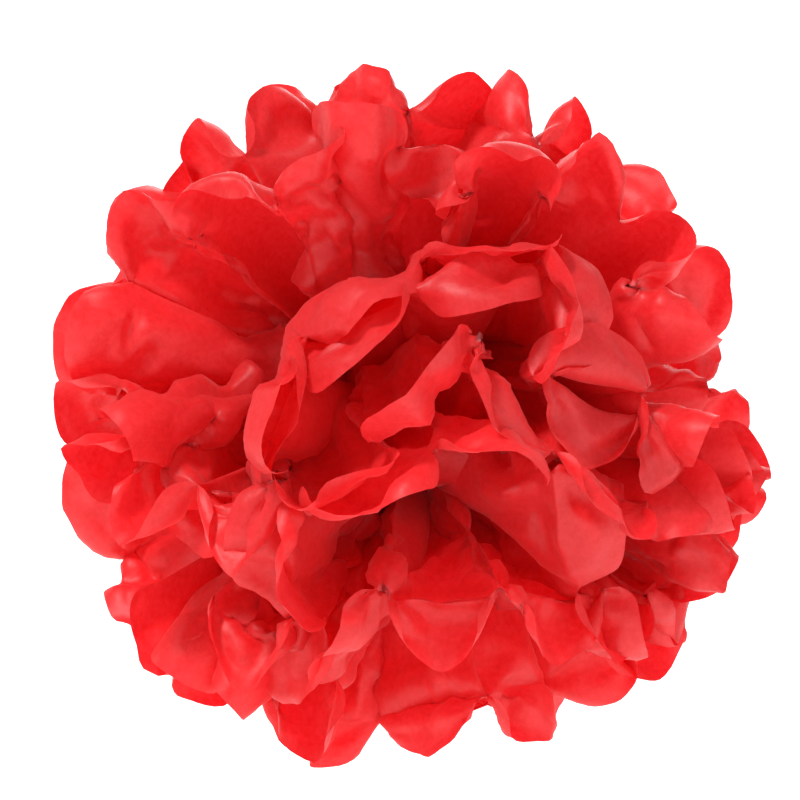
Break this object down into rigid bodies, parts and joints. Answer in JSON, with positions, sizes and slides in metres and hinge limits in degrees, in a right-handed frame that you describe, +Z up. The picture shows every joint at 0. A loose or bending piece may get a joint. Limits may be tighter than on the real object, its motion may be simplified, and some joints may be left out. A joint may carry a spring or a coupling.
{
  "type": "tissue paper pom pom",
  "caption": "Ball of accordion-folded red tissue sheets with round-cut ends, cinched by a twisted wire and fluffed out, hung as a decoration.",
  "frame": {"origin": "centre of the waist, where the wire cinches the stack of sheets", "axes": "+Z up; -Y to the front pole, where the first sheet opens; +X to the right, seen from the front. The seam between the two fans of each sheet rises at 34 degrees from +X towards +Z"},
  "size_m": [0.253, 0.2084, 0.2489],
  "materials": {
    "red_tissue": "thin translucent tissue, soft sheen",
    "steel_wire": "plain galvanised wire"
  },
  "bodies": {
    "root": {"tissue_sheet_1": "red_tissue", "tissue_sheet_2": "red_tissue", "tissue_sheet_3": "red_tissue", "tissue_sheet_4": "red_tissue", "tissue_sheet_5": "red_tissue", "tissue_sheet_6": "red_tissue", "tissue_sheet_7": "red_tissue", "tissue_sheet_8": "red_tissue", "wire_tie": "steel_wire"}
  },
  "joints": []
}
